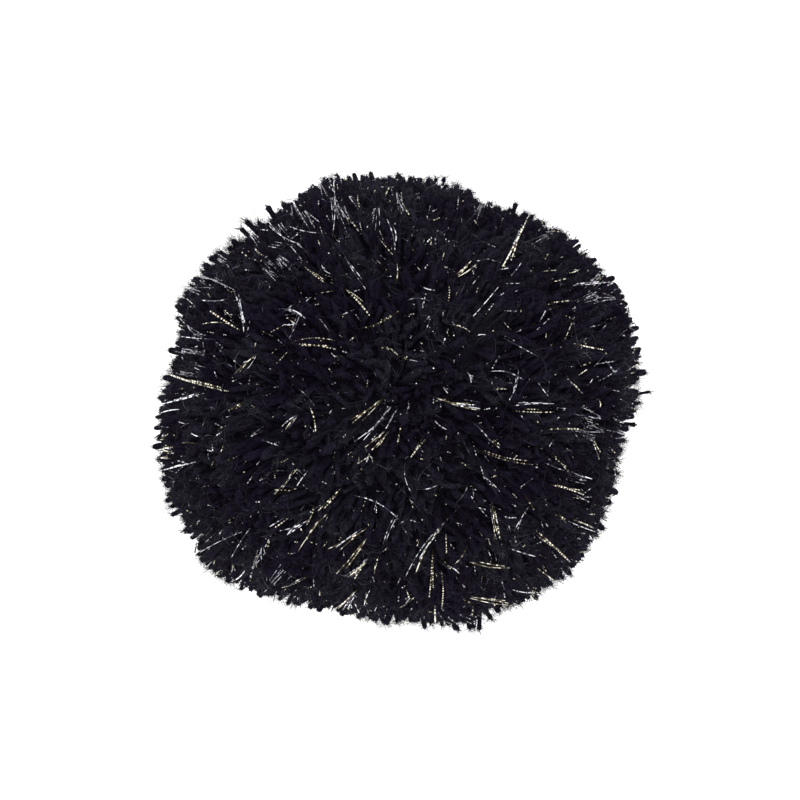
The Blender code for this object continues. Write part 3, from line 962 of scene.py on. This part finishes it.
SLIPPED_TWIST = 2.4 * MM  # the film turns its flat side up and away this often
SLIPPED_TWIST_WIDTH = 0.2  # and shows this much wider and narrower as it does
SLIPPED_TURN = 0.03  # of a turn, by which one thread's flat side is off the surface
SLIPPED_TAPER = (0.45, 0.35)  # how much of its width it loses at its root and at its end
SLIPPED_ROOT = 2.5 * MM  # how deep in the yarn the shown part starts
SLIPPED_LIFT = 0.6 * MM  # how proud of the trimmed surface it lies
LIFT_RANGE = (0.6, 1.4)
SLIPPED_WAVE = 4.5 * MM  # it dips under the fuzz this often
WAVE_HEIGHT = 0.9  # of SLIPPED_LIFT
# Threads of one fan start and end at places of their own, and bow in their own ways.
START_SCATTER = 0.22 * MM
END_SCATTER = 0.16 * MM
BOW_SCATTER = 0.2
LATE_START = 0.25
EARLY_END = 0.3
OUTER_END = 0.15  # the outer threads of a fan are shorter by up to half this share
SPLAY_CURVE = 1.5
# How brightly the painted glints show on a thread alone and on the threads of a fan.
OWN_SHADES = (0.1, 1.0)
FAN_SHADES = (0.5, 1.0)
SPLIT_BEADS = 2.6 * MM
SPLIT_GLEAM_LENGTH = 3.0 * MM
SPLIT_GOLD_BOUND = 0.36
SPLIT_SILVER_BOUND = 0.25
# Bound by black fibres, a painted half-light on the flank of a glint, and a painted highlight where it
# catches the light.
SPLIT_GOLD = ("#564D3A", "#9E957E", "#FFF9E4")
SPLIT_SILVER = ("#454552", "#898997", "#F6F6FC")
CAMERA_ABOVE_TIE = 599.5 * MM
TRIES = 12  # of the height of a point, each closer than the last
LEAST_HEIGHT = 2.0 * MM

chance = np.random.default_rng(67)


def on_ball(track, lift, wave, side):
    """The track on the ball's upper side (1), where the camera sees it, or its underside (-1).

    The track is measured level with the tie. Points above it are nearer to the camera. The
    wave adds to the lift, but less where the ball is steep.
    """
    height = np.full(len(track), side * CROWN_REACH / 2)
    for _ in range(TRIES):
        flat = track * (1 - height[:, None] / CAMERA_ABOVE_TIE)
        way = unit(np.concatenate((flat, height[:, None]), axis=-1))
        reach = trimmed_reach(way) + lift + wave * way[:, 2] ** 2
        next_height = side * np.sqrt(np.maximum(reach**2 - (flat**2).sum(-1), LEAST_HEIGHT**2))
        height = (height + next_height) / 2
    return TIE + np.concatenate((flat, height[:, None]), axis=-1)


# The hidden underside carries the same threads, turned half round.
turned_round = [(-x, -y, -end_x, -end_y, *rest) for x, y, end_x, end_y, *rest in SLIPPED]
both_sides = [(1, *row) for row in SLIPPED] + [(-1, *row) for row in turned_round]
slipped = {kind: [] for kind in SLIPPED_WIDTH}
slipped_shade = {kind: [] for kind in SLIPPED_WIDTH}
steps = np.linspace(0, 1, len(SLIPPED_RINGS) + 1)
for side, x, y, end_x, end_y, bow, count, fan, metal in both_sides:
    run = np.array((end_x - x, end_y - y)) * MM
    left = np.array((-run[1], run[0])) / np.linalg.norm(run)
    for number in range(count):
        place = number / (count - 1) - 0.5 if count > 1 else 0.0
        start_aside = left * chance.normal() * START_SCATTER
        aside = left * (place * fan * MM + chance.normal() * END_SCATTER)
        end_share = 1 - (OUTER_END * abs(place) + EARLY_END * chance.random()) * (number > 0)
        start_share = LATE_START * chance.random() * (number > 0)
        share = start_share + (end_share - start_share) * steps
        curve = left * (bow + chance.normal() * BOW_SCATTER) * MM
        track = np.array((x, y)) * MM + run * share[:, None] + start_aside * (1 - share[:, None])
        track = track + aside * share[:, None] ** SPLAY_CURVE
        track = track + curve * np.sin(math.pi * share)[:, None]
        waves = np.sin(2 * math.pi * (chance.random() + steps * np.linalg.norm(run) / SLIPPED_WAVE))
        lift = SLIPPED_LIFT * chance.uniform(*LIFT_RANGE)
        wave = SLIPPED_LIFT * WAVE_HEIGHT * waves - SLIPPED_ROOT * (1 - steps) ** 6
        path = above_table(on_ball(track, lift, wave, side), THREAD_ABOVE_TABLE)
        kind = metal if metal != "both" else ("gold", "silver")[int(chance.integers(2))]
        if kind == "gold" and count > 2:
            kind = "split_gold"
        slipped[kind].append(path)
        slipped_shade[kind].append(chance.uniform(*(OWN_SHADES if count < 3 else FAN_SHADES)))

slipped_thread = model_strand(4, SLIPPED_RINGS, SLIPPED_FLATNESS)
split_gold = metallised_film(
    "split_gold_film", SPLIT_GOLD, SPLIT_BEADS, SPLIT_GOLD_BOUND, SPLIT_GLEAM_LENGTH
)
split_silver = metallised_film(
    "split_silver_film", SPLIT_SILVER, SPLIT_BEADS, SPLIT_SILVER_BOUND, SPLIT_GLEAM_LENGTH
)
for kind, film in (("gold", gold_film), ("split_gold", split_gold), ("silver", split_silver)):
    paths = np.array(slipped[kind])
    count = len(paths)
    run = np.linalg.norm(paths[:, -1] - paths[:, 0], axis=1)[:, None]
    twist = np.sin(2 * math.pi * (chance.random((count, 1)) + steps * run / SLIPPED_TWIST))
    own_width = SLIPPED_WIDTH[kind] * chance.uniform(*SLIPPED_WIDTH_RANGE, (count, 1))
    width = own_width * (1 + SLIPPED_TWIST_WIDTH * twist)
    width = width * (1 - SLIPPED_TAPER[0] * (1 - steps) ** 3 - SLIPPED_TAPER[1] * steps**6)
    threads = join_copies(
        f"{kind}_slipped_threads",
        film,
        slipped_thread,
        paths,
        width / 2,
        phase=chance.normal(size=count) * SLIPPED_TURN,
        facing=unit(paths.mean(1) - TIE),
        values={
            "chance": chance.uniform(0, THREAD_VARIETY, count),
            "shade": np.array(slipped_shade[kind]),
        },
    )
    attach(threads, "root")

# ---------------------------------------------------------------------------------------
# The frayed threads. Near the rim some of the silver film was rubbed as it was wound and
# has frayed into soft brushes of finer filaments, duller than the whole film.

# Each row is one stretch of the rim. The underside has the same ones, turned half round.
FRAYED = (  # direction_deg, half_width_deg, brushes
    (98, 9, 3),
    (118, 13, 10),
    (138, 10, 6),
    (158, 10, 5),
    (172, 7, 2),
    (38, 13, 5),
    (72, 10, 1),
    (349, 8, 6),
    (333, 6, 1),
    (225, 12, 2),
)
FRAYED_FILAMENTS = 5
FRAYED_FROM_RIM = (0.5 * MM, 7.5 * MM)  # how far inside the rim a brush ends
FRAYED_LENGTH = (1.0 * MM, 4.6 * MM)
FRAYED_WIDTH = 0.11 * MM
FRAYED_WIDTH_RANGE = (0.6, 1.3)
FRAYED_SPACING = 0.40 * MM
FRAYED_LEAN = 0.24
FRAYED_SPLAY = 0.14
# How brightly the painted glints show on a brush, and on one filament of it.
FRAYED_SHADES = (0.2, 0.8)
FRAYED_OWN_SHADE = 0.4
FRAYED_BOUND = 0.36
# Bound by black fibres, a painted half-light on the flank of a glint, and a painted highlight where it
# catches the light.
FRAYED_SILVER = ("#26262D", "#62626D", "#D0D0DA")

frayed_paths = []
frayed_shade = []
steps = np.linspace(0, 1, len(THREAD_RINGS) + 1)
for side, half_turn in ((1, 0.0), (-1, math.pi)):
    for direction, half_width, brushes in FRAYED:
        for _ in range(brushes):
            turn = half_turn + math.radians(direction + chance.uniform(-half_width, half_width))
            level = np.array((math.cos(turn), math.sin(turn)))
            rim = trimmed_reach(np.array([[*level, 0.0]]))[0]
            end = level * (rim - chance.uniform(*FRAYED_FROM_RIM))
            across = np.array((-level[1], level[0]))
            brush_lean = turn + chance.normal() * FRAYED_LEAN
            brush_shade = chance.uniform(*FRAYED_SHADES)
            for _ in range(FRAYED_FILAMENTS):
                lean = brush_lean + chance.normal() * FRAYED_SPLAY
                way = np.array((math.cos(lean), math.sin(lean)))
                back = way * chance.uniform(*FRAYED_LENGTH) * (1 - steps[:, None])
                track = end + across * chance.normal() * FRAYED_SPACING - back
                wave = -SLIPPED_ROOT * (1 - steps) ** 2
                path = on_ball(track, SLIPPED_LIFT * chance.uniform(*LIFT_RANGE), wave, side)
                frayed_paths.append(above_table(path, THREAD_ABOVE_TABLE))
                own_shade = chance.uniform(-FRAYED_OWN_SHADE, FRAYED_OWN_SHADE)
                frayed_shade.append(brush_shade + own_shade)
count = len(frayed_paths)
frayed_film = metallised_film(
    "frayed_silver_film", FRAYED_SILVER, SPLIT_BEADS, FRAYED_BOUND, GLEAM_LENGTH
)
frayed = join_copies(
    "frayed_silver_threads",
    frayed_film,
    thread,
    np.array(frayed_paths),
    FRAYED_WIDTH / 2 * chance.uniform(*FRAYED_WIDTH_RANGE, count),
    phase=chance.uniform(0, THREAD_VARIETY, count),
    values={"chance": chance.uniform(0, THREAD_VARIETY, count), "shade": np.array(frayed_shade)},
)
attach(frayed, "root")

# ---------------------------------------------------------------------------------------
# The table, the light and the camera. The ball lies on a white table under a wide soft
# light, and the camera looks straight down at it.

PHOTO_SIDE = 800
MM_PER_PIXEL = 0.185
BALL_MIDDLE_PX = (397.5, 401.5)
TABLE_SIDE = 3.0
TABLE_GLOW = 0.8  # keeps the table as even and white as paper
ROOM_LIGHT = 1.15
SOFTBOX_PLACE = (0.0, 0.1, 0.95)
SOFTBOX_SIDE = 0.24
SOFTBOX_WATTS = 2.4

bpy.ops.mesh.primitive_plane_add(size=TABLE_SIDE, location=(0, 0, 0))
table = bpy.context.object
table.name = "white_table"
white, shader = new_material("white_laminate")
shader.inputs["Base Color"].default_value = linear("#F4F4F4")
shader.inputs["Roughness"].default_value = 0.6
shader.inputs["Emission Color"].default_value = (1, 1, 1, 1)
shader.inputs["Emission Strength"].default_value = TABLE_GLOW
table.data.materials.append(white)

world = bpy.data.worlds.new("studio")
world.use_nodes = True
world.node_tree.nodes["Background"].inputs["Color"].default_value = (1, 1, 1, 1)
world.node_tree.nodes["Background"].inputs["Strength"].default_value = ROOM_LIGHT
bpy.context.scene.world = world

bpy.ops.object.light_add(type="AREA", location=SOFTBOX_PLACE)
overhead = bpy.context.object
overhead.name = "overhead_softbox"
overhead.data.shape = "SQUARE"
overhead.data.size = SOFTBOX_SIDE
overhead.data.energy = SOFTBOX_WATTS

camera_data = bpy.data.cameras.new("camera")
camera = bpy.data.objects.new("camera", camera_data)
bpy.context.scene.collection.objects.link(camera)
pixel = MM_PER_PIXEL * MM
aside = (PHOTO_SIDE / 2 - BALL_MIDDLE_PX[0]) * pixel
upwards = (BALL_MIDDLE_PX[1] - PHOTO_SIDE / 2) * pixel
camera.location = (aside, upwards, TIE[2] + CAMERA_ABOVE_TIE)
photo_width = PHOTO_SIDE * pixel
camera_data.sensor_fit = "HORIZONTAL"
camera_data.angle = 2 * math.atan(photo_width / 2 / CAMERA_ABOVE_TIE)
camera_data.clip_start = 0.01
bpy.context.scene.camera = camera
bpy.context.scene.view_settings.view_transform = "Standard"
